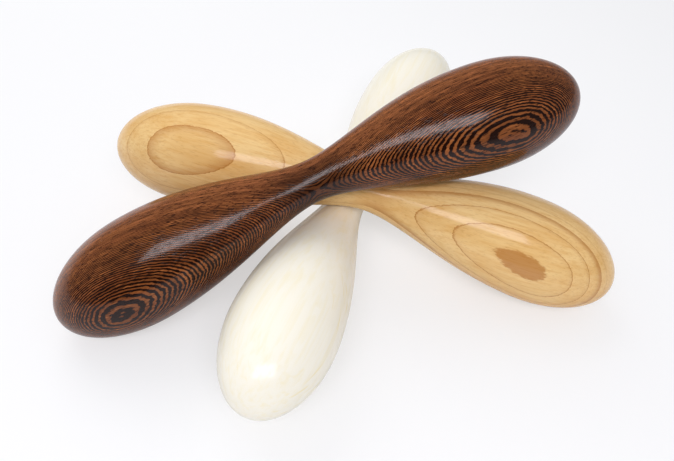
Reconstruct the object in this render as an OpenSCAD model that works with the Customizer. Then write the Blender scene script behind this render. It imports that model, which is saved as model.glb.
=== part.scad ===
// Three loose claves, each carved from one blank: a bowed stick with a slim waist and two bulbs.
// The maple clave lies on the table, the cherry one rests across it, and the wenge one on top.

/* [Clave] */
// Length of a clave, measured along its bowed centre line
stick_length = 200; // [170:1:240]
// Diameter at the waist
waist_d = 14.9; // [12:0.2:18]
// Widest diameter of each bulb
bulb_d = 38.4; // [32:0.2:46]
// Distance along the centre line from a bulb's widest place to its tip
end_length = 34; // [28:0.5:42]
// How far the waist stays slim before the flank swells
waist_run = 15.5; // [8:0.5:24]
// How far a bulb keeps its full width towards the waist
bulb_run = 31; // [20:0.5:36]

/* [Maple clave, on the table] */
// Angle that its centre line turns through from tip to tip
maple_bow_angle = 28.3; // [5:0.1:40]
// Direction it points in, seen from above
maple_heading = 71.9; // [60:0.1:90]
// Lean of its bow: 0 arches the waist up, 180 lets it hang
maple_lean_angle = 146.7; // [120:0.5:180]

/* [Cherry clave, across the maple one] */
// Angle that its centre line turns through from tip to tip
cherry_bow_angle = 31.4; // [5:0.1:40]
// Direction of its raised end, seen from above
cherry_heading = 169.3; // [160:0.1:190]
// Lean of its bow from upright
cherry_lean_angle = -1.3; // [-30:0.5:30]
// How far its waist lies to the right of the maple waist
cherry_right = 5.8; // [-15:0.1:20]
// How far its waist lies in front of the maple waist
cherry_front = 8.9; // [-15:0.1:20]

/* [Wenge clave, on top] */
// Angle that its centre line turns through from tip to tip
wenge_bow_angle = 23.5; // [5:0.1:40]
// Direction of its raised end, seen from above
wenge_heading = 23.9; // [15:0.1:40]
// Lean of its bow from upright
wenge_lean_angle = 22; // [-30:0.5:40]
// How far its waist lies to the left of the maple waist
wenge_left = 13.2; // [5:0.1:25]

/* [Stacking] */
// Gap left between two claves where one rests on the other
rest_gap = 0.2; // [0.1:0.05:1]

/* [Hidden] */

// Fineness of the carved skin: points round a ring, and rings along flank and rounded end
sides = 40;
flank_steps = 14;
end_steps = 9;
// The rings stand out by this factor, so that the flats between their points touch the true round
ring_grow = 1 / cos(180 / sides);
// Resting: balls along each flank, and how many of them count as the waist
ball_steps = 24;
waist_balls = 6;
// Halvings made while a clave is tilted and moved until it rests, and the furthest values tried
tilt_steps = 14;
steepest_angle = 40;
front_steps = 11;
furthest_front = 50;

waist_r = waist_d / 2;
bulb_r = bulb_d / 2;
bulb_at = stick_length / 2 - end_length;

// ---- Outline: pairs of distance along the centre line and radius, from tip to tip ----

function bezier(a, b, c, d, t) =
    a * pow(1 - t, 3) + 3 * b * t * pow(1 - t, 2) + 3 * c * pow(t, 2) * (1 - t) + d * pow(t, 3);
function bezier_rate(a, b, c, d, t) =
    3 * ((b - a) * pow(1 - t, 2) + 2 * (c - b) * t * (1 - t) + (d - c) * pow(t, 2));

// A flank runs from the waist at t = 0 to the widest place of the bulb at t = 1
function flank_distance(t) = bezier(0, waist_run, bulb_at - bulb_run, bulb_at, t);
function flank_radius(t) = bezier(waist_r, waist_r, bulb_r, bulb_r, t);
function flank_slope(t) =
    bezier_rate(waist_r, waist_r, bulb_r, bulb_r, t)
        / bezier_rate(0, waist_run, bulb_at - bulb_run, bulb_at, t);

flank = [for (i = [1:flank_steps]) [flank_distance(i / flank_steps), flank_radius(i / flank_steps)]];
rounded_end = [
    for (i = [1:end_steps - 1])
        let (a = 90 * i / end_steps)
            [bulb_at + end_length * sin(a), bulb_r * cos(a)]
];
half_outline = concat(flank, rounded_end);
outline = concat(
    [for (i = [len(half_outline) - 1:-1:0]) [-half_outline[i][0], half_outline[i][1]]],
    [[0, waist_r]],
    half_outline
);
last_ring = len(outline) - 1;

// ---- Pose: middle of the waist, heading, tilt of the headed end, lean and turn of the bow ----

function along(pose) = [cos(pose[2]) * cos(pose[1]), cos(pose[2]) * sin(pose[1]), sin(pose[2])];
function upright(pose) = [-sin(pose[2]) * cos(pose[1]), -sin(pose[2]) * sin(pose[1]), cos(pose[2])];
function sideways(pose) = [-sin(pose[1]), cos(pose[1]), 0];
function bow_back(pose) = cos(pose[3]) * upright(pose) + sin(pose[3]) * sideways(pose);
function across(pose) = cross(along(pose), bow_back(pose));
function bow_radius(pose) = stick_length / (pose[4] * PI / 180);

// Centre line and its directions at distance s from the waist
function turned(pose, s) = pose[4] * s / stick_length;
function centre(pose, s) =
    pose[0] + bow_radius(pose)
        * (sin(turned(pose, s)) * along(pose) - (1 - cos(turned(pose, s))) * bow_back(pose));
function tangent(pose, s) = cos(turned(pose, s)) * along(pose) - sin(turned(pose, s)) * bow_back(pose);
function outward(pose, s) = sin(turned(pose, s)) * along(pose) + cos(turned(pose, s)) * bow_back(pose);

// ---- Resting: each clave drops to the table and tilts until it lies on the one below ----

// Lowest height that the rings of a clave reach
function lowest(pose) = min([
    for (p = outline)
        let (t = tangent(pose, p[0]))
            centre(pose, p[0])[2] - p[1] * ring_grow * sqrt(1 - t[2] * t[2])
]);
function on_table(pose) = [pose[0] - [0, 0, lowest(pose)], pose[1], pose[2], pose[3], pose[4]];

// Balls that touch the skin from inside, as pairs of centre and radius, over one part of a clave
whole = [-ball_steps, ball_steps];
raised_part = [-waist_balls, ball_steps];
lower_part = [-ball_steps, -waist_balls - 1];
function balls(pose, part) = [
    for (i = [part[0]:part[1]])
        let (
            t = abs(i) / ball_steps,
            s = sign(i) * flank_distance(t),
            r = flank_radius(t) * ring_grow,
            k = sign(i) * flank_slope(t)
        )
            [centre(pose, s) + r * k * tangent(pose, s), r * sqrt(1 + k * k)]
];
function gap(balls_a, balls_b) = min([for (a = balls_a) for (b = balls_b) norm(a[0] - b[0]) - a[1] - b[1]]);

// The least tilt at which one part of a clave clears the balls under it
function tilted(pose, tilt) = on_table([pose[0], pose[1], tilt, pose[3], pose[4]]);
function rest_tilt(pose, part, under, low, high, steps) =
    let (mid = (low + high) / 2)
        steps == 0 ? mid
        : gap(balls(tilted(pose, mid), part), under) < rest_gap
            ? rest_tilt(pose, part, under, mid, high, steps - 1)
            : rest_tilt(pose, part, under, low, mid, steps - 1);
function resting(pose, part, under) =
    tilted(pose, rest_tilt(pose, part, under, 0, steepest_angle, tilt_steps));

maple_pose = on_table([[0, 0, 0], maple_heading, 0, maple_lean_angle, maple_bow_angle]);
maple_balls = balls(maple_pose, whole);
cherry_start = [[cherry_right, -cherry_front, 0], cherry_heading, 0, cherry_lean_angle, cherry_bow_angle];
cherry_pose = resting(cherry_start, whole, maple_balls);
cherry_balls = balls(cherry_pose, whole);

// The wenge clave lies over the cherry waist, as far back as its lower bulb can go beside the cherry bulb
function wenge_at(front) =
    let (start = [[-wenge_left, -front, 0], wenge_heading, 0, wenge_lean_angle, wenge_bow_angle])
        resting(start, raised_part, cherry_balls);
function nestled_front(low, high, steps) =
    let (mid = (low + high) / 2)
        steps == 0 ? mid
        : gap(balls(wenge_at(mid), lower_part), cherry_balls) < rest_gap ? nestled_front(mid, high, steps - 1)
        : nestled_front(low, mid, steps - 1);
wenge_pose = wenge_at(nestled_front(0, furthest_front, front_steps));

// ---- Skin: a tip, the rings and the other tip, as one list of points ----

function ring(pose, s, r) = [
    for (i = [0:sides - 1])
        let (a = 360 * i / sides)
            centre(pose, s) + r * ring_grow * (cos(a) * outward(pose, s) + sin(a) * across(pose))
];
function skin(pose) = concat(
    [centre(pose, -stick_length / 2)],
    [for (p = outline) each ring(pose, p[0], p[1])],
    [centre(pose, stick_length / 2)]
);

// Each point's number is 1 + ring * sides + place on the ring; the tips come first and last
function point_at(ring_no, i) = 1 + ring_no * sides + i % sides;
far_tip = 1 + (last_ring + 1) * sides;
skin_faces = concat(
    [for (i = [0:sides - 1]) [0, point_at(0, i), point_at(0, i + 1)]],
    [
        for (k = [0:last_ring - 1])
            for (i = [0:sides - 1])
                each [
                    [point_at(k, i), point_at(k + 1, i), point_at(k, i + 1)],
                    [point_at(k, i + 1), point_at(k + 1, i), point_at(k + 1, i + 1)]
                ]
    ],
    [for (i = [0:sides - 1]) [far_tip, point_at(last_ring, i + 1), point_at(last_ring, i)]]
);

// The whole set is moved so that its footprint is centred on the origin and its lowest point is at Z = 0
all_points = concat(skin(maple_pose), skin(cherry_pose), skin(wenge_pose));
low_corner = [for (axis = [0:2]) min([for (p = all_points) p[axis]])];
high_corner = [for (axis = [0:2]) max([for (p = all_points) p[axis]])];
to_origin = [-(low_corner[0] + high_corner[0]) / 2, -(low_corner[1] + high_corner[1]) / 2, -low_corner[2]];

module carved_stick(pose) {
    translate(to_origin) polyhedron(points = skin(pose), faces = skin_faces);
}

module maple_clave() {
    color([0.96, 0.92, 0.82]) carved_stick(maple_pose);
}

module cherry_clave() {
    color([0.85, 0.62, 0.36]) carved_stick(cherry_pose);
}

module wenge_clave() {
    color([0.30, 0.15, 0.09]) carved_stick(wenge_pose);
}

maple_clave();
cherry_clave();
wenge_clave();
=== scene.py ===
import math

import bmesh
import bpy
import numpy as np
from bpy.props import FloatProperty, FloatVectorProperty, IntProperty, PointerProperty
from mathutils import Matrix, Vector, noise


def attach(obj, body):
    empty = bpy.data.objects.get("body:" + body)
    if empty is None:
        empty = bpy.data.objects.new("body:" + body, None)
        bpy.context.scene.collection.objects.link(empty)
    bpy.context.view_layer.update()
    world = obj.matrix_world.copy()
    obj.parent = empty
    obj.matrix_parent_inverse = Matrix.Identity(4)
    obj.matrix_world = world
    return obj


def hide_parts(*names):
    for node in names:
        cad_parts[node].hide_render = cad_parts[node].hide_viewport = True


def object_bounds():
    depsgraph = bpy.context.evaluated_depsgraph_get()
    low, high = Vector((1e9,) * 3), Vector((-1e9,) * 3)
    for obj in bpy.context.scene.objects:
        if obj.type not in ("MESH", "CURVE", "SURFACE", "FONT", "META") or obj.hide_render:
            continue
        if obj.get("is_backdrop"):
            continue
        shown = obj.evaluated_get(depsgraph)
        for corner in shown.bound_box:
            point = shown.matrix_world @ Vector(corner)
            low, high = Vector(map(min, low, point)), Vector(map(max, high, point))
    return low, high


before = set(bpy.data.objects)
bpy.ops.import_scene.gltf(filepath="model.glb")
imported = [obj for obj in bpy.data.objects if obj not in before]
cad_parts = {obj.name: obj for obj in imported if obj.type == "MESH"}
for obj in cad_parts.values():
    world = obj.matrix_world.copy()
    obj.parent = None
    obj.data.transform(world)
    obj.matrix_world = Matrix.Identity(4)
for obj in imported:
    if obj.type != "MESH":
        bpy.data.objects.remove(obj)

bl_info = {
    "name": "Carved Claves",
    "version": (1, 0, 0),
    "blender": (4, 5, 0),
    "location": "3D View > Sidebar > Claves",
    "description": "Three bowed claves in varnished maple, cherry and wenge, stacked on a pale table",
    "category": "Object",
}

MM = 0.001
# Corners of the CAD mesh closer than this are one point
WELD = 0.002 * MM
# Half the thickness of the slice that holds the waist ring, and the least distance between two rings
WAIST_SLICE = 0.5 * MM
RING_STEP = 0.1 * MM
# The fine skin's tips stay this far inside the CAD form's tips
TIP_TRIM = 0.06 * MM
FAR_END = {"maple_clave": (0, 1, 0), "cherry_clave": (1, 0, 0), "wenge_clave": (1, 0, 0)}
# Direction of the second lamp: from the back left, high up
SKYLIGHT_WAY = Vector((-0.45, 0.55, 0.75))


# ---- What a user can change ----


class ClavesForm(bpy.types.PropertyGroup):
    """Fineness of the carved skin, and how even the carver left it"""

    sides: IntProperty(name="Sides", description="Points round each ring", default=112, min=40, max=256)
    rings: IntProperty(name="Rings", description="Rings from tip to tip", default=190, min=60, max=400)
    unevenness: FloatProperty(
        name="Unevenness",
        description="How deep the sanded hollows of the hand-shaped skin are",
        default=0.1 * MM,
        min=0,
        max=0.5 * MM,
        unit="LENGTH",
    )
    hollow_size: FloatProperty(
        name="Hollow size",
        description="Usual width of a sanded hollow",
        default=26 * MM,
        min=8 * MM,
        max=60 * MM,
        unit="LENGTH",
    )


class ClavesFinish(bpy.types.PropertyGroup):
    """Colours of the three woods and the gloss of their varnish"""

    maple_pale: FloatVectorProperty(
        name="Maple", description="Pale ground of the maple", subtype="COLOR", default=(0.93, 0.89, 0.76)
    )
    maple_streak: FloatVectorProperty(
        name="Maple streak", description="Faint streaks in it", subtype="COLOR", default=(0.88, 0.77, 0.43)
    )
    cherry_pale: FloatVectorProperty(
        name="Cherry", description="Honey ground of the cherry", subtype="COLOR", default=(0.84, 0.575, 0.255)
    )
    cherry_warm: FloatVectorProperty(
        name="Cherry, warm",
        description="Warmer patches of the cherry",
        subtype="COLOR",
        default=(0.68, 0.35, 0.085),
    )
    cherry_ring: FloatVectorProperty(
        name="Cherry ring",
        description="Late wood of the cherry",
        subtype="COLOR",
        default=(0.42, 0.145, 0.020),
    )
    wenge_brown: FloatVectorProperty(
        name="Wenge brown",
        description="Brown bands of the wenge",
        subtype="COLOR",
        default=(0.20, 0.055, 0.015),
    )
    # Painted light: the lighter brown of the top and back, against the darker front brown, which is painted
    # shade
    wenge_lit_back: FloatVectorProperty(
        name="Wenge back",
        description="Brown away from the front",
        subtype="COLOR",
        default=(0.45, 0.15, 0.05),
    )
    wenge_orange: FloatVectorProperty(
        name="Wenge orange",
        description="Brightest bands of the wenge",
        subtype="COLOR",
        default=(0.46, 0.16, 0.045),
    )
    wenge_black: FloatVectorProperty(
        name="Wenge black",
        description="Dark bands of the wenge",
        subtype="COLOR",
        default=(0.014, 0.004, 0.002),
    )
    wenge_band: FloatProperty(
        name="Wenge band",
        description="Thickness of one dark and one brown band of the wenge, in mm",
        default=0.42,
        min=0.2,
        max=3,
    )
    varnish_roughness: FloatProperty(
        name="Varnish roughness", description="Roughness of the clear gloss coat", default=0.12, min=0, max=1
    )


class ClavesStage(bpy.types.PropertyGroup):
    """Table, lamps and camera"""

    floor_width: FloatProperty(
        name="Floor width", description="Width of the pale table top", default=6.0, min=1, unit="LENGTH"
    )
    floor_colour: FloatVectorProperty(
        name="Floor", description="Colour of the table top", subtype="COLOR", default=(0.90, 0.90, 0.91)
    )
    floor_glow: FloatProperty(
        name="Floor white",
        description="Share of plain white in what the camera sees",
        default=0.5,
        min=0,
        max=1,
    )
    ambient: FloatProperty(
        name="Ambient", description="Strength of the even light from all round", default=0.57, min=0
    )
    dark_share: FloatProperty(
        name="Dark share", description="How bright the dark part of the room is", default=0.12, min=0, max=1
    )
    mirror_share: FloatProperty(
        name="Mirror share",
        description="How much of the even light the varnish mirrors",
        default=0.3,
        min=0,
        max=1,
    )
    dark_elevation: FloatProperty(
        name="Dark elevation",
        description="Elevation of the middle of the dark part of the room",
        default=math.radians(8),
        unit="ROTATION",
    )
    ambient_colour: FloatVectorProperty(
        name="Ambient colour",
        description="Colour of the even light",
        subtype="COLOR",
        default=(0.93, 0.95, 1.0),
    )
    window_power: FloatProperty(
        name="Window power", description="Power of the broad lamp in front", default=2.05, min=0, unit="POWER"
    )
    window_width: FloatProperty(
        name="Window width", description="Width of the broad lamp", default=0.5, min=0.05, unit="LENGTH"
    )
    window_height: FloatProperty(
        name="Window height", description="Height of the broad lamp", default=0.18, min=0.05, unit="LENGTH"
    )
    window_distance: FloatProperty(
        name="Window distance", description="Distance of the broad lamp", default=0.6, min=0.2, unit="LENGTH"
    )
    window_elevation: FloatProperty(
        name="Window elevation",
        description="Elevation of the broad lamp over the table",
        default=math.radians(52),
        unit="ROTATION",
    )
    skylight_power: FloatProperty(
        name="Skylight power",
        description="Power of the lamp at the back left",
        default=1.2,
        min=0,
        unit="POWER",
    )
    skylight_size: FloatProperty(
        name="Skylight size",
        description="Width of the lamp at the back left",
        default=0.45,
        min=0.05,
        unit="LENGTH",
    )
    camera_elevation: FloatProperty(
        name="Camera elevation",
        description="Angle that the camera looks down at",
        default=math.radians(49.6),
        unit="ROTATION",
    )
    camera_distance: FloatProperty(
        name="Camera distance",
        description="Distance to the point on the table that it looks at",
        default=251.3 * MM,
        unit="LENGTH",
    )
    camera_roll: FloatProperty(
        name="Camera roll",
        description="Tilt of the camera round its view",
        default=math.radians(5),
        unit="ROTATION",
    )
    camera_lens: FloatProperty(
        name="Lens", description="Focal length on a 36 mm wide sensor, in mm", default=31.7, min=10, max=200
    )
    camera_right: FloatProperty(
        name="Camera right", description="Where the camera looks, across", default=-5.1 * MM, unit="LENGTH"
    )
    camera_back: FloatProperty(
        name="Camera back",
        description="Where the camera looks, towards the back",
        default=-1.0 * MM,
        unit="LENGTH",
    )


# ---- The form of a clave, read from its CAD node ----


def read_clave(node_name):
    """(matrix, bow radius, outline) of a CAD clave. X runs along the waist and Z to the back of the bow.
    The outline is an array of (distance along the bowed centre line, radius), from tip to tip."""
    mesh = bmesh.new()
    mesh.from_mesh(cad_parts[node_name].data)
    bmesh.ops.remove_doubles(mesh, verts=mesh.verts, dist=WELD)
    # Only at the two tips do as many edges meet as a ring has points
    by_edges = sorted(mesh.verts, key=lambda corner: len(corner.link_edges))
    tips = sorted((np.array(corner.co) for corner in by_edges[-2:]), key=lambda p: p @ FAR_END[node_name])
    points = np.array([corner.co for corner in mesh.verts])
    mesh.free()

    middle = (tips[0] + tips[1]) / 2
    half_chord = np.linalg.norm(tips[1] - tips[0]) / 2
    along = (tips[1] - tips[0]) / (2 * half_chord)
    waist_ring = points[np.abs((points - middle) @ along) < WAIST_SLICE]
    waist = waist_ring.mean(0)
    rise = np.linalg.norm(waist - middle)
    back = (waist - middle) / rise
    half_turn = 2 * math.atan(rise / half_chord)
    bow_radius = half_chord / math.sin(half_turn)
    side = np.cross(back, along)

    # Every ring lies in a plane through the centre line of the bow, so its angle gives its distance
    local = (points - waist) @ np.array([along, side, back]).T
    reach = np.hypot(local[:, 0], local[:, 2] + bow_radius)
    distance = bow_radius * np.arctan2(local[:, 0], local[:, 2] + bow_radius)
    radius = np.hypot(reach - bow_radius, local[:, 1])
    order = np.argsort(distance)
    breaks = np.flatnonzero(np.diff(distance[order]) > RING_STEP) + 1
    # The flats between a ring's points touch the true round
    to_flats = math.cos(math.pi / len(waist_ring))
    outline = np.array([(distance[g].mean(), radius[g].mean() * to_flats) for g in np.split(order, breaks)])
    outline[:, 0] *= 1 - TIP_TRIM / outline[-1, 0]

    matrix = Matrix.Identity(4)
    for column, axis in enumerate((along, side, back, waist)):
        matrix.col[column][:3] = axis
    return matrix, bow_radius, outline


def smooth_outline(outline, count):
    """count points from tip to tip on a smooth curve through the outline, tips left out."""
    mirrored = outline * (1, -1)
    padded = np.vstack([mirrored[1], outline, mirrored[-2]])
    steps = np.linalg.norm(np.diff(padded, axis=0), axis=1)
    reach = np.concatenate([[0], np.cumsum(steps)])
    slopes = np.gradient(padded, reach, axis=0)
    result = []
    for wanted in np.linspace(reach[1], reach[-2], count + 2)[1:-1]:
        i = min(np.searchsorted(reach, wanted) - 1, len(reach) - 2)
        span = reach[i + 1] - reach[i]
        t = (wanted - reach[i]) / span
        result.append(
            (1 + 2 * t) * (1 - t) ** 2 * padded[i]
            + t * (1 - t) ** 2 * span * slopes[i]
            + t * t * (3 - 2 * t) * padded[i + 1]
            + t * t * (t - 1) * span * slopes[i + 1]
        )
    return result


def carve(name, node_name, body, finish, seed):
    """One clave as a fine smooth skin over its CAD form, with faint hollows left by hand sanding."""
    form = bpy.context.scene.claves_form
    matrix, bow_radius, outline = read_clave(node_name)

    def on_bow(distance, offset_out, offset_side):
        turn = distance / bow_radius
        return Vector(
            (
                (bow_radius + offset_out) * math.sin(turn),
                offset_side,
                (bow_radius + offset_out) * math.cos(turn) - bow_radius,
            )
        )

    points = [on_bow(outline[0][0], 0, 0)]
    for distance, radius in smooth_outline(outline, form.rings):
        for step in range(form.sides):
            angle = 2 * math.pi * step / form.sides
            even = on_bow(distance, radius * math.cos(angle), radius * math.sin(angle))
            spot = even / form.hollow_size + Vector((seed, 0, 0))
            hollow = form.unevenness * (0.5 + 0.5 * noise.noise(spot))
            left = max(radius - hollow, radius / 2)
            points.append(on_bow(distance, left * math.cos(angle), left * math.sin(angle)))
    points.append(on_bow(outline[-1][0], 0, 0))

    def at(ring, step):
        return 1 + ring * form.sides + step % form.sides

    last = len(points) - 1
    faces = [(0, at(0, s + 1), at(0, s)) for s in range(form.sides)]
    for ring in range(form.rings - 1):
        for s in range(form.sides):
            faces.append((at(ring, s), at(ring, s + 1), at(ring + 1, s + 1), at(ring + 1, s)))
    faces += [(last, at(form.rings - 1, s), at(form.rings - 1, s + 1)) for s in range(form.sides)]

    mesh = bpy.data.meshes.new(name)
    mesh.from_pydata(points, [], faces)
    mesh.transform(matrix)
    mesh.shade_smooth()
    mesh.materials.append(finish(matrix))
    clave = bpy.data.objects.new(name, mesh)
    bpy.context.scene.collection.objects.link(clave)
    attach(clave, body)
    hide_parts(node_name)
    return clave


# ---- Materials ----


class Recipe:
    """A material or a world, built node by node. Each call wires its inputs and returns an output socket."""

    def __init__(self, owner):
        owner.use_nodes = True
        self.owner = owner
        self.tree = owner.node_tree
        self.tree.nodes.clear()

    def add(self, kind, inputs=(), output=0, **settings):
        node = self.tree.nodes.new(kind)
        for key, value in settings.items():
            setattr(node, key, value)
        for key, value in dict(inputs).items():
            if isinstance(value, bpy.types.NodeSocket):
                self.tree.links.new(value, node.inputs[key])
            else:
                node.inputs[key].default_value = value
        return node.outputs[output] if node.outputs else None

    def math(self, operation, *values):
        return self.add("ShaderNodeMath", enumerate(values), operation=operation)

    def scaled(self, vector, factors):
        return self.add("ShaderNodeVectorMath", {0: vector, 1: factors}, operation="MULTIPLY")

    def dot(self, vector, direction):
        inputs = {0: vector, 1: direction}
        return self.add("ShaderNodeVectorMath", inputs, output="Value", operation="DOT_PRODUCT")

    def place(self, blank):
        """Position in mm along the clave's own straight-grained blank"""
        own = self.add("ShaderNodeTexCoord", output="Object")
        settings = {
            "Vector": own,
            "Location": blank.translation,
            "Rotation": blank.to_euler(),
            "Scale": (MM, MM, MM),
        }
        return self.add("ShaderNodeMapping", settings, vector_type="TEXTURE")

    def clouds(self, place, wavelengths, detail=2.0):
        """Noise from 0 to 1 with a wavelength in mm along each axis"""
        vector = self.scaled(place, tuple(1 / length for length in wavelengths))
        settings = {"Vector": vector, "Scale": 1.0, "Detail": detail, "Roughness": 0.5}
        return self.add("ShaderNodeTexNoise", settings, output="Fac")

    def wander(self, place, wavelengths, reach, detail=2.0):
        """Noise between minus and plus reach, roughly"""
        centred = self.math("SUBTRACT", self.clouds(place, wavelengths, detail), 0.5)
        return self.math("MULTIPLY", centred, 2 * reach)

    def smooth_step(self, value, low, high, to_low=0.0, to_high=1.0):
        settings = {"Value": value, "From Min": low, "From Max": high, "To Min": to_low, "To Max": to_high}
        return self.add("ShaderNodeMapRange", settings, interpolation_type="SMOOTHSTEP")

    def mix(self, factor, a, b):
        """A colour between a and b"""
        node = self.tree.nodes.new("ShaderNodeMix")
        node.data_type = "RGBA"
        for socket, value in ((node.inputs[0], factor), (node.inputs[6], a), (node.inputs[7], b)):
            if isinstance(value, bpy.types.NodeSocket):
                self.tree.links.new(value, socket)
            elif socket.type == "RGBA":
                socket.default_value = (*value, 1.0)
            else:
                socket.default_value = value
        return node.outputs[2]

    def layers(self, place, lean, slope, long_curve, cross_curve):
        """Depth in mm through growth layers that lean round the axis and follow the bow of a tree's rings"""
        ahead = self.dot(place, (1, 0, 0))
        outward = self.dot(place, (slope, -math.sin(lean), math.cos(lean)))
        across = self.dot(place, (0, math.cos(lean), math.sin(lean)))
        long_part = self.math("MULTIPLY", self.math("MULTIPLY", ahead, ahead), long_curve)
        cross_part = self.math("MULTIPLY", self.math("MULTIPLY", across, across), cross_curve)
        return self.math("ADD", outward, self.math("ADD", long_part, cross_part))

    def mixed(self, factor, a, b):
        """A plain number between a and b"""
        gain = self.math("SUBTRACT", b, a)
        return self.math("MULTIPLY_ADD", gain, factor, a)

    def varnish(self, colour, roughness, grain_height, relief, coat_relief):
        """Wood under a clear gloss coat, which sinks a little into the grain"""
        look = bpy.context.scene.claves_finish
        bump = {"Strength": 0.5, "Height": grain_height}
        under = self.add("ShaderNodeBump", {**bump, "Distance": relief}, output="Normal")
        over = self.add("ShaderNodeBump", {**bump, "Distance": coat_relief}, output="Normal")
        settings = {
            "Base Color": colour,
            "Roughness": roughness,
            "Normal": under,
            "Coat Normal": over,
            "Specular IOR Level": 0.0,
            "Coat Weight": 0.75,
            "Coat Roughness": look.varnish_roughness,
            "Coat IOR": 1.42,
        }
        surface = self.add("ShaderNodeBsdfPrincipled", settings)
        self.add("ShaderNodeOutputMaterial", {"Surface": surface})
        return self.owner


# How growth layers lie in each half of a blank: lean round its axis, slope along it, and how much they
# curve along and across it, per mm
CHERRY_FAR_LAYERS = (math.radians(59.2), -0.118, 0.00103, 0.0105)
CHERRY_NEAR_LAYERS = (math.radians(39.5), 0.018, 0.00102, 0.0095)
WENGE_FAR_LAYERS = (math.radians(91), 0.01, 0.0, 0.0)
WENGE_NEAR_LAYERS = (math.radians(95), -0.132, 0.0, 0.0)
# Shift of the wenge's far layers, in mm, so that a brown band forms the middle of the far oval
WENGE_FAR_SHIFT = 0.2
# Late wood of the cherry as (depth in mm, darkness of the line, darkness of its tail, length of the
# tail in mm), for the half with the far end and for the other
CHERRY_FAR_RINGS = [
    (-12.0, 0.6, 0.3, 2.0),
    (-4.0, 0.6, 0.3, 1.6),
    (4.3, 0.4, 0.1, 0.8),
    (6.3, 0.75, 0.62, 1.7),
    (9.1, 0.75, 0.2, 0.8),
    (11.5, 0.7, 0.16, 0.7),
]
CHERRY_NEAR_RINGS = [
    (-12.0, 0.6, 0.3, 2.0),
    (-4.0, 0.6, 0.3, 1.6),
    (4.0, 0.5, 0.2, 1.0),
    (13.1, 0.6, 0.16, 0.9),
    (16.6, 0.8, 0.5, 1.0),
]
# How the bands of the wenge stray: wavelengths along and across the grain, reach in mm, and detail
WENGE_DRIFT = (((70, 30, 30), 1.0, 1.0), ((11, 4, 4), 0.19, 1.0), ((2.2, 1.0, 1.0), 0.12, 1.0))
# Depth at which the dark heart of the cherry's far bulb starts
CHERRY_HEART = 13.1
# Thickness of the sharp edge and of the thin dark line of late wood, in mm
RING_EDGE = 0.04
RING_LINE = 0.2


def late_wood(wood, depth, rings):
    """Darkness of the growth rings: each starts sharply, as a thin line, and fades as the depth grows"""
    dark = 0.0
    for start, line_dark, tail_dark, fade in rings:
        edge = wood.smooth_step(depth, start - RING_EDGE, start)
        line = wood.smooth_step(depth, start, start + RING_LINE, line_dark, 0.0)
        tail = wood.smooth_step(depth, start, start + fade, tail_dark, 0.0)
        ring = wood.math("MULTIPLY", edge, wood.math("MAXIMUM", line, tail))
        dark = wood.math("MAXIMUM", ring, dark)
    return dark


def cherry_wood(blank):
    look = bpy.context.scene.claves_finish
    wood = Recipe(bpy.data.materials.new("cherry_wood"))
    place = wood.place(blank)
    far = wood.smooth_step(wood.dot(place, (1, 0, 0)), -8.0, 8.0)
    drift = wood.math(
        "ADD",
        wood.wander(place, (60, 22, 22), 0.5, 1.0),
        wood.wander(place, (1.8, 0.7, 0.7), 0.13, 2.0),
    )
    far_depth = wood.math("ADD", drift, wood.layers(place, *CHERRY_FAR_LAYERS))
    near_depth = wood.math("ADD", drift, wood.layers(place, *CHERRY_NEAR_LAYERS))

    far_rings = late_wood(wood, far_depth, CHERRY_FAR_RINGS)
    near_rings = late_wood(wood, near_depth, CHERRY_NEAR_RINGS)
    rings = wood.mixed(far, near_rings, far_rings)
    heart = wood.math("MULTIPLY", wood.smooth_step(far_depth, CHERRY_HEART, CHERRY_HEART + 0.12), far)

    patches = wood.smooth_step(wood.clouds(place, (38, 9, 9), 3.0), 0.38, 0.72)
    streaks = wood.smooth_step(wood.clouds(place, (14, 0.9, 0.9), 3.0), 0.42, 0.72)
    flecks = wood.smooth_step(wood.clouds(place, (3.2, 0.36, 0.36), 1.0), 0.55, 0.72)
    ground = wood.mix(wood.math("MULTIPLY", patches, 0.5), look.cherry_pale, look.cherry_warm)
    ground = wood.mix(wood.math("MULTIPLY", streaks, 0.4), ground, look.cherry_warm)
    ground = wood.mix(wood.math("MULTIPLY", flecks, 0.22), ground, look.cherry_ring)
    colour = wood.mix(rings, ground, look.cherry_ring)
    colour = wood.mix(wood.math("MULTIPLY", heart, 0.7), colour, look.cherry_ring)
    roughness = wood.smooth_step(streaks, 0.0, 1.0, 0.34, 0.42)
    height = wood.math("SUBTRACT", 1.0, wood.math("ADD", flecks, wood.math("MULTIPLY", streaks, 0.3)))
    return wood.varnish(colour, roughness, height, 0.012 * MM, 0.004 * MM)


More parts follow.
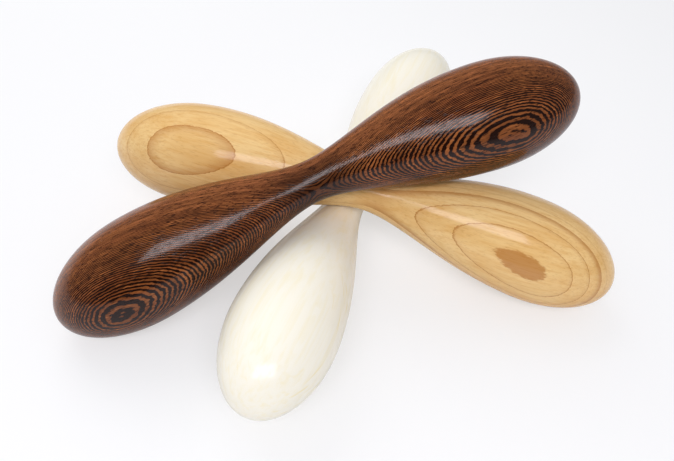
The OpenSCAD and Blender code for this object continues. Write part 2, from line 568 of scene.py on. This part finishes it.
def wenge_wood(blank):
    look = bpy.context.scene.claves_finish
    wood = Recipe(bpy.data.materials.new("wenge_wood"))
    place = wood.place(blank)
    far = wood.smooth_step(wood.dot(place, (1, 0, 0)), -12.0, 12.0)
    far_depth = wood.math("ADD", WENGE_FAR_SHIFT, wood.layers(place, *WENGE_FAR_LAYERS))
    near_depth = wood.layers(place, *WENGE_NEAR_LAYERS)
    depth = wood.mixed(far, near_depth, far_depth)
    for wavelengths, reach, detail in WENGE_DRIFT:
        depth = wood.math("ADD", depth, wood.wander(place, wavelengths, reach, detail))
    bands = wood.math("DIVIDE", depth, look.wenge_band)
    wave = wood.math("PINGPONG", bands, 0.5)
    width = wood.wander(place, (6, 1.0, 1.0), 0.2, 1.0)
    # Towards the front the bands are narrower, which is grain, and the brown is deeper, which is painted
    # shade; the lighter brown away from the front is painted light
    front_grain_and_shade = wood.smooth_step(wood.dot(place, (0, -1, 0)), 0.0, 16.0)
    wider = wood.math("ADD", width, wood.smooth_step(front_grain_and_shade, 0.0, 1.0, 0.06, -0.05))
    light = wood.smooth_step(wood.math("ADD", wave, wider), 0.17, 0.30)
    # Some years are darker than others
    along_depth = wood.add("ShaderNodeCombineXYZ", {0: wood.math("MULTIPLY", depth, 0.75)})
    years = wood.smooth_step(wood.clouds(along_depth, (1, 1, 1), 2.0), 0.36, 0.66)

    dashes = wood.smooth_step(wood.clouds(place, (3.6, 0.42, 0.42), 1.0), 0.57, 0.68)
    sparks = wood.smooth_step(wood.clouds(place, (6.0, 0.6, 0.6), 1.0), 0.56, 0.70)
    patches = wood.smooth_step(wood.clouds(place, (45, 7, 7), 3.0), 0.35, 0.7)
    # Painted shade and light: darker brown on the front, lighter brown on the top and back
    brown = wood.mix(front_grain_and_shade, look.wenge_lit_back, look.wenge_brown)
    brown = wood.mix(wood.math("MULTIPLY", patches, 0.4), brown, look.wenge_orange)
    brown = wood.mix(wood.math("MULTIPLY", sparks, 0.6), brown, look.wenge_orange)
    light = wood.math("MULTIPLY", light, wood.smooth_step(years, 0.0, 1.0, 0.6, 1.0))
    colour = wood.mix(light, look.wenge_black, brown)
    colour = wood.mix(wood.math("MULTIPLY", dashes, 0.75), colour, look.wenge_black)
    # The front of the waist is painted almost black, as a painted dark reflection of the room in the varnish
    waist = wood.smooth_step(wood.math("ABSOLUTE", wood.dot(place, (1, 0, 0))), 4.0, 22.0, 0.75, 0.0)
    waist_dark_reflection = wood.math("MULTIPLY", waist, wood.smooth_step(wood.dot(place, (0, -1, 0)), 0.0, 6.0))
    colour = wood.mix(waist_dark_reflection, colour, look.wenge_black)
    roughness = wood.smooth_step(light, 0.0, 1.0, 0.30, 0.42)
    height = wood.math("SUBTRACT", wood.math("MULTIPLY", light, 0.35), dashes)
    return wood.varnish(colour, roughness, height, 0.04 * MM, 0.034 * MM)


def maple_wood(blank):
    look = bpy.context.scene.claves_finish
    wood = Recipe(bpy.data.materials.new("maple_wood"))
    place = wood.place(blank)
    streaks = wood.smooth_step(wood.clouds(place, (90, 1.6, 1.6), 3.0), 0.42, 0.75)
    lines = wood.smooth_step(wood.clouds(place, (120, 3.5, 0.8), 1.0), 0.60, 0.72)
    flecks = wood.smooth_step(wood.clouds(place, (3.0, 0.3, 0.3), 1.0), 0.62, 0.76)
    colour = wood.mix(wood.math("MULTIPLY", streaks, 0.28), look.maple_pale, look.maple_streak)
    # Yellow lines of the grain, made stronger towards the right side, where they also stand in for a painted
    # warm glow
    lines_and_glow_side = wood.smooth_step(wood.dot(place, (0, 1, 0)), 0.0, 15.0, 0.15, 0.85)
    colour = wood.mix(wood.math("MULTIPLY", lines, lines_and_glow_side), colour, look.maple_streak)
    colour = wood.mix(wood.math("MULTIPLY", flecks, 0.10), colour, look.maple_streak)
    roughness = wood.smooth_step(streaks, 0.0, 1.0, 0.34, 0.42)
    height = wood.math("SUBTRACT", 1.0, wood.math("ADD", flecks, wood.math("MULTIPLY", streaks, 0.3)))
    return wood.varnish(colour, roughness, height, 0.008 * MM, 0.003 * MM)


def floor_material():
    """A pale table top: it keeps the shadows, and the camera sees its light parts as white"""
    stage = bpy.context.scene.claves_stage
    paint = Recipe(bpy.data.materials.new("table_top"))
    matt = paint.add("ShaderNodeBsdfDiffuse", {"Color": (*stage.floor_colour, 1.0)})
    white = paint.add("ShaderNodeEmission", {"Color": (1, 1, 1, 1), "Strength": 1.0})
    seen = paint.math("MULTIPLY", paint.add("ShaderNodeLightPath", output="Is Camera Ray"), stage.floor_glow)
    surface = paint.add("ShaderNodeMixShader", {0: seen, 1: matt, 2: white})
    paint.add("ShaderNodeOutputMaterial", {"Surface": surface})
    return paint.owner


# ---- Operators ----


class CLAVES_OT_maple(bpy.types.Operator):
    """Carve the maple clave that lies on the table"""

    bl_idname = "claves.maple"
    bl_label = "Maple clave"

    def execute(self, context):
        carve("maple_stick", "maple_clave", "maple", maple_wood, 0)
        return {"FINISHED"}


class CLAVES_OT_cherry(bpy.types.Operator):
    """Carve the cherry clave that lies across the maple one"""

    bl_idname = "claves.cherry"
    bl_label = "Cherry clave"

    def execute(self, context):
        carve("cherry_stick", "cherry_clave", "cherry", cherry_wood, 20)
        return {"FINISHED"}


class CLAVES_OT_wenge(bpy.types.Operator):
    """Carve the wenge clave that lies on top"""

    bl_idname = "claves.wenge"
    bl_label = "Wenge clave"

    def execute(self, context):
        carve("wenge_stick", "wenge_clave", "wenge", wenge_wood, 40)
        return {"FINISHED"}


class CLAVES_OT_stage(bpy.types.Operator):
    """Lay the pale table top and set the lamps, the surroundings and the camera"""

    bl_idname = "claves.stage"
    bl_label = "Stage"

    def execute(self, context):
        scene = context.scene
        stage = scene.claves_stage
        self.lay_floor(scene, stage)
        self.hang_lamps(scene, stage)
        self.light_surroundings(scene, stage)
        self.set_camera(scene, stage)
        scene.view_settings.view_transform = "Standard"
        return {"FINISHED"}

    def lay_floor(self, scene, stage):
        half = stage.floor_width / 2
        mesh = bpy.data.meshes.new("table_top")
        corners = [(-half, -half, 0), (half, -half, 0), (half, half, 0), (-half, half, 0)]
        mesh.from_pydata(corners, [], [(0, 1, 2, 3)])
        mesh.materials.append(floor_material())
        floor = bpy.data.objects.new("table_top", mesh)
        scene.collection.objects.link(floor)
        floor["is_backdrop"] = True

    def hang_lamps(self, scene, stage):
        low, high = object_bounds()
        middle = (low + high) / 2
        window_way = Vector((0, -math.cos(stage.window_elevation), math.sin(stage.window_elevation)))
        window_size = (stage.window_width, stage.window_height)
        skylight_size = (stage.skylight_size, stage.skylight_size)
        lamps = (
            ("window", window_way, window_size, stage.window_power, (0.97, 0.95, 1.0)),
            ("skylight", SKYLIGHT_WAY, skylight_size, stage.skylight_power, (1, 1, 1)),
        )
        for name, way, size, power, colour in lamps:
            data = bpy.data.lights.new(name, "AREA")
            data.shape = "RECTANGLE"
            data.size, data.size_y = size
            data.energy = power
            data.color = colour
            lamp = bpy.data.objects.new(name, data)
            lamp.location = middle + way.normalized() * stage.window_distance
            lamp.rotation_euler = way.to_track_quat("Z", "Y").to_euler()
            # Only the window shows as a highlight in the varnish
            lamp.visible_glossy = name == "window"
            scene.collection.objects.link(lamp)

    def light_surroundings(self, scene, stage):
        world = bpy.data.worlds.new("surroundings")
        room = Recipe(world)
        # The room is dark low down in front, behind whoever looks at the claves
        way = room.add("ShaderNodeTexCoord", output="Generated")
        front = Vector((0, -math.cos(stage.dark_elevation), math.sin(stage.dark_elevation)))
        darkest = stage.ambient * stage.dark_share
        shade = room.smooth_step(room.dot(way, front), 0.70, 0.97, stage.ambient, darkest)
        # The varnish mirrors only a share of the even light, so that the dark wood stays dark
        mirrored = room.add("ShaderNodeLightPath", output="Is Glossy Ray")
        kept = room.math("MULTIPLY_ADD", mirrored, stage.mirror_share - 1, 1.0)
        glow = room.math("MULTIPLY", shade, kept)
        even = room.add("ShaderNodeBackground", {"Color": (*stage.ambient_colour, 1.0), "Strength": glow})
        white = room.add("ShaderNodeBackground", {"Color": (1, 1, 1, 1), "Strength": 1.0})
        seen = room.add("ShaderNodeLightPath", output="Is Camera Ray")
        surface = room.add("ShaderNodeMixShader", {0: seen, 1: even, 2: white})
        room.add("ShaderNodeOutputWorld", {"Surface": surface})
        scene.world = world

    def set_camera(self, scene, stage):
        data = bpy.data.cameras.new("camera")
        data.sensor_width = 36
        data.lens = stage.camera_lens
        data.clip_start = 0.01
        camera = bpy.data.objects.new("camera", data)
        target = Vector((stage.camera_right, stage.camera_back, 0))
        away = Vector((0, -math.cos(stage.camera_elevation), math.sin(stage.camera_elevation)))
        place = Matrix.Translation(target + away * stage.camera_distance)
        facing = away.to_track_quat("Z", "Y").to_matrix().to_4x4()
        camera.matrix_world = place @ facing @ Matrix.Rotation(stage.camera_roll, 4, "Z")
        scene.collection.objects.link(camera)
        scene.camera = camera


class CLAVES_PT_panel(bpy.types.Panel):
    """Lists the claves and the stage"""

    bl_label = "Carved claves"
    bl_idname = "CLAVES_PT_panel"
    bl_space_type = "VIEW_3D"
    bl_region_type = "UI"
    bl_category = "Claves"

    def draw(self, context):
        for operator in OPERATORS:
            self.layout.operator(operator.bl_idname)
        for group in ("claves_form", "claves_finish", "claves_stage"):
            settings = getattr(context.scene, group)
            for name in settings.__annotations__:
                self.layout.prop(settings, name)


GROUPS = {"claves_form": ClavesForm, "claves_finish": ClavesFinish, "claves_stage": ClavesStage}
OPERATORS = (CLAVES_OT_maple, CLAVES_OT_cherry, CLAVES_OT_wenge, CLAVES_OT_stage)


def register():
    for name, group in GROUPS.items():
        bpy.utils.register_class(group)
        setattr(bpy.types.Scene, name, PointerProperty(type=group))
    for operator in OPERATORS:
        bpy.utils.register_class(operator)
    bpy.utils.register_class(CLAVES_PT_panel)


def unregister():
    bpy.utils.unregister_class(CLAVES_PT_panel)
    for operator in reversed(OPERATORS):
        bpy.utils.unregister_class(operator)
    for name, group in GROUPS.items():
        delattr(bpy.types.Scene, name)
        bpy.utils.unregister_class(group)


def main():
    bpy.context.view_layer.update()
    register()
    bpy.ops.claves.maple()
    bpy.ops.claves.cherry()
    bpy.ops.claves.wenge()
    bpy.ops.claves.stage()


if __name__ == "__main__":
    main()
